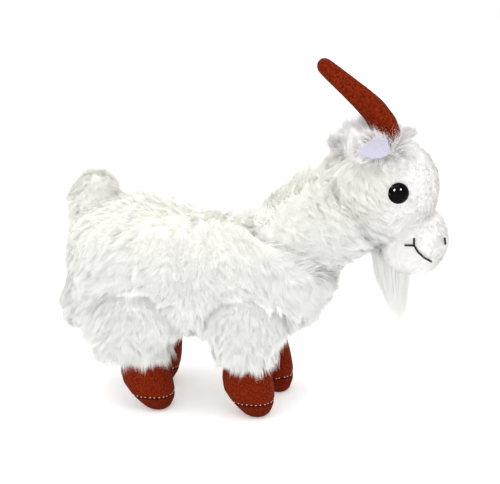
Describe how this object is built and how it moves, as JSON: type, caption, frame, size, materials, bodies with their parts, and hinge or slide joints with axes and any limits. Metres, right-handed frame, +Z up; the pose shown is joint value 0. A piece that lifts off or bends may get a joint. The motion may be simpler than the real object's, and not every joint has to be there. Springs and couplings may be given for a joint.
{
  "type": "plush goat toy",
  "caption": "Stuffed plush goat with long white fur, rust velour horns and hooves, black safety eyes, stitched mouth and a wispy beard.",
  "frame": {"origin": "on the floor, under the middle of the toy's length and width", "axes": "+X towards the nose, +Y to the goat's left side, +Z up"},
  "size_m": [0.2352, 0.0892, 0.2149],
  "materials": {
    "long_plush": "matte",
    "short_plush": "matte",
    "ear_velour": "matte",
    "rust_velour": "matte",
    "sole_velour": "matte",
    "pale_thread": "matte",
    "black_thread": "matte",
    "black_plastic": "gloss",
    "fibre_filling": "matte"
  },
  "bodies": {
    "torso": {"body_side_left": "long_plush", "body_side_right": "long_plush", "belly_panel": "long_plush", "body_filling": "fibre_filling"},
    "neck": {"neck_skin_left": "long_plush", "neck_skin_right": "long_plush", "neck_filling": "fibre_filling"},
    "head": {"head_back_left": "long_plush", "head_back_right": "long_plush", "face_panel_left": "short_plush", "face_panel_right": "short_plush", "muzzle_left": "short_plush", "muzzle_right": "short_plush", "chin_panel": "short_plush", "head_filling": "fibre_filling", "eye_left": "black_plastic", "eye_right": "black_plastic", "eye_washer_left": "black_plastic", "eye_washer_right": "black_plastic", "mouth_stitch_left": "black_thread", "mouth_stitch_right": "black_thread", "nostril_stitch_left": "black_thread", "nostril_stitch_right": "black_thread"},
    "horn_left": {"horn_skin_left": "rust_velour", "horn_filling_left": "fibre_filling"},
    "horn_right": {"horn_skin_right": "rust_velour", "horn_filling_right": "fibre_filling"},
    "ear_left": {"ear_outer_left": "long_plush", "ear_inner_left": "ear_velour"},
    "ear_right": {"ear_outer_right": "long_plush", "ear_inner_right": "ear_velour"},
    "leg_front_left": {"leg_skin_front_left": "long_plush", "leg_filling_front_left": "fibre_filling", "hoof_front_left": "rust_velour", "hoof_sole_front_left": "sole_velour", "hoof_thread_front_left": "pale_thread"},
    "leg_front_right": {"leg_skin_front_right": "long_plush", "leg_filling_front_right": "fibre_filling", "hoof_front_right": "rust_velour", "hoof_sole_front_right": "sole_velour", "hoof_thread_front_right": "pale_thread"},
    "leg_hind_left": {"leg_skin_hind_left": "long_plush", "leg_filling_hind_left": "fibre_filling", "hoof_hind_left": "rust_velour", "hoof_sole_hind_left": "sole_velour", "hoof_thread_hind_left": "pale_thread"},
    "leg_hind_right": {"leg_skin_hind_right": "long_plush", "leg_filling_hind_right": "fibre_filling", "hoof_hind_right": "rust_velour", "hoof_sole_hind_right": "sole_velour", "hoof_thread_hind_right": "pale_thread"},
    "tail": {"tail_skin": "long_plush", "tail_filling": "fibre_filling"},
    "beard": {"beard": "long_plush"}
  },
  "joints": [
    {"name": "neck_nod", "type": "hinge", "parent": "torso", "child": "neck", "pos_m": [0.028, 0, 0.108], "axis": [0, 1, 0], "range_deg": [-10, 12], "stiffness_Nm_per_rad": 0.8},
    {"name": "head_turn", "type": "hinge", "parent": "neck", "child": "head", "pos_m": [0.076, 0, 0.14], "axis": [0, 0, 1], "range_deg": [-25, 25], "stiffness_Nm_per_rad": 0.2},
    {"name": "horn_bend_left", "type": "hinge", "parent": "head", "child": "horn_left", "pos_m": [0.0778, 0.01, 0.171], "axis": [0, 1, 0], "range_deg": [-12, 12], "stiffness_Nm_per_rad": 0.05},
    {"name": "horn_bend_right", "type": "hinge", "parent": "head", "child": "horn_right", "pos_m": [0.081, -0.01, 0.171], "axis": [0, 1, 0], "range_deg": [-12, 12], "stiffness_Nm_per_rad": 0.05},
    {"name": "ear_flap_left", "type": "hinge", "parent": "head", "child": "ear_left", "pos_m": [0.084, 0.022, 0.1665], "axis": [0.2932, 0.2055, -0.9337], "range_deg": [-8, 25], "stiffness_Nm_per_rad": 0.02},
    {"name": "ear_flap_right", "type": "hinge", "parent": "head", "child": "ear_right", "pos_m": [0.084, -0.022, 0.1665], "axis": [-0.2932, 0.2055, 0.9337], "range_deg": [-8, 25], "stiffness_Nm_per_rad": 0.02},
    {"name": "leg_swing_front_left", "type": "hinge", "parent": "torso", "child": "leg_front_left", "pos_m": [0.0025, 0.028, 0.06], "axis": [0, 1, 0], "range_deg": [-15, 15], "stiffness_Nm_per_rad": 0.8},
    {"name": "leg_swing_front_right", "type": "hinge", "parent": "torso", "child": "leg_front_right", "pos_m": [0.0025, -0.028, 0.06], "axis": [0, 1, 0], "range_deg": [-15, 15], "stiffness_Nm_per_rad": 0.8},
    {"name": "leg_swing_hind_left", "type": "hinge", "parent": "torso", "child": "leg_hind_left", "pos_m": [-0.062, 0.028, 0.06], "axis": [0, 1, 0], "range_deg": [-15, 15], "stiffness_Nm_per_rad": 0.8},
    {"name": "leg_swing_hind_right", "type": "hinge", "parent": "torso", "child": "leg_hind_right", "pos_m": [-0.062, -0.028, 0.06], "axis": [0, 1, 0], "range_deg": [-15, 15], "stiffness_Nm_per_rad": 0.8},
    {"name": "tail_bend", "type": "hinge", "parent": "torso", "child": "tail", "pos_m": [-0.095, 0, 0.12], "axis": [0, 1, 0], "range_deg": [-12, 12], "stiffness_Nm_per_rad": 0.03},
    {"name": "beard_swing", "type": "hinge", "parent": "head", "child": "beard", "pos_m": [0.085, 0, 0.084], "axis": [0, 1, 0], "range_deg": [-20, 20], "stiffness_Nm_per_rad": 0.01}
  ]
}
